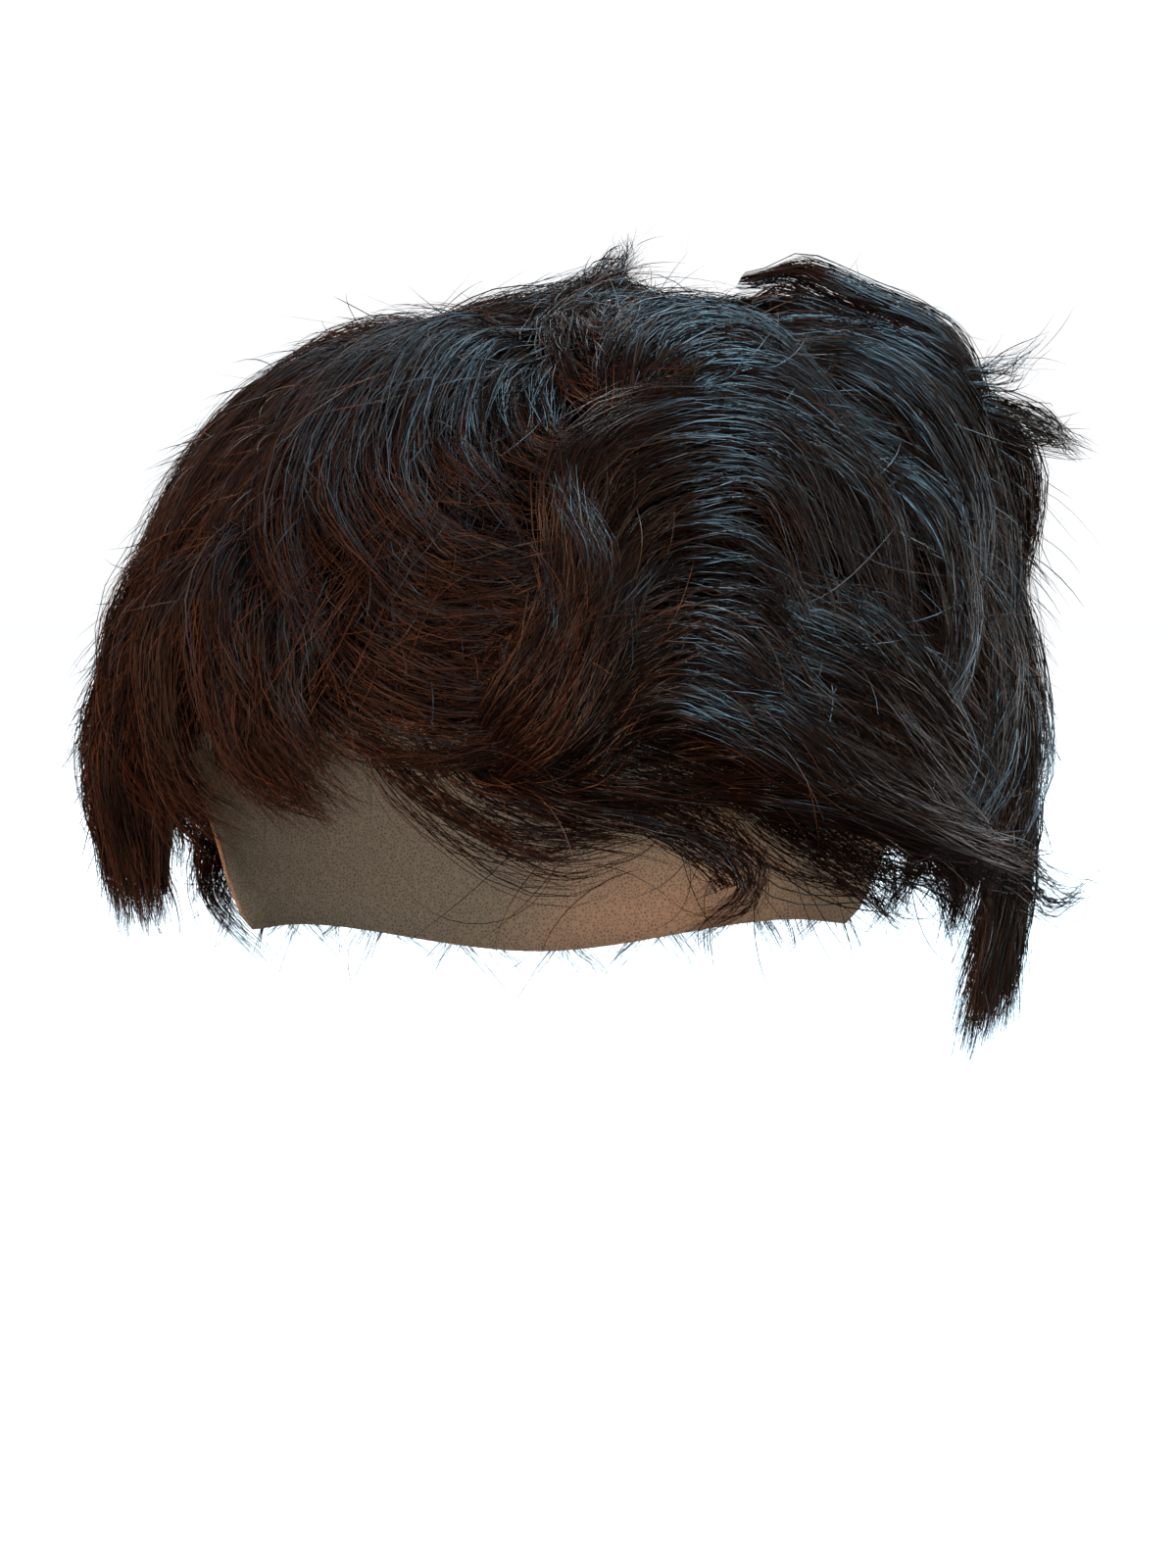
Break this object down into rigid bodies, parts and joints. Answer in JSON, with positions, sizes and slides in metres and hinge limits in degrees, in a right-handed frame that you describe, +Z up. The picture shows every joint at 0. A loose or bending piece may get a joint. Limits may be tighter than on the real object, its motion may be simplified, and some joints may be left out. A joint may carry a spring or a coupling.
{
  "type": "lace wig",
  "caption": "Short wavy dark brown wig of hair on a thin lace cap, combed over to one side with a fine fringe, for wearing on an adult head.",
  "frame": {"origin": "inside of the lace cap at the crown, where the top of the head sits", "axes": "+Z up, -Y toward the forehead side, +X toward the wearer's left"},
  "size_m": [0.1891, 0.2223, 0.1563],
  "materials": {
    "lace": "fine beige mesh",
    "hair": "dark brown hair, soft sheen"
  },
  "bodies": {
    "root": {"lace_cap": "lace", "hair_top": "hair", "hair_fringe": "hair", "hair_right_side": "hair", "hair_right_tab": "hair", "hair_left_side": "hair", "hair_left_tab": "hair", "hair_back": "hair", "hair_nape": "hair"}
  },
  "joints": []
}
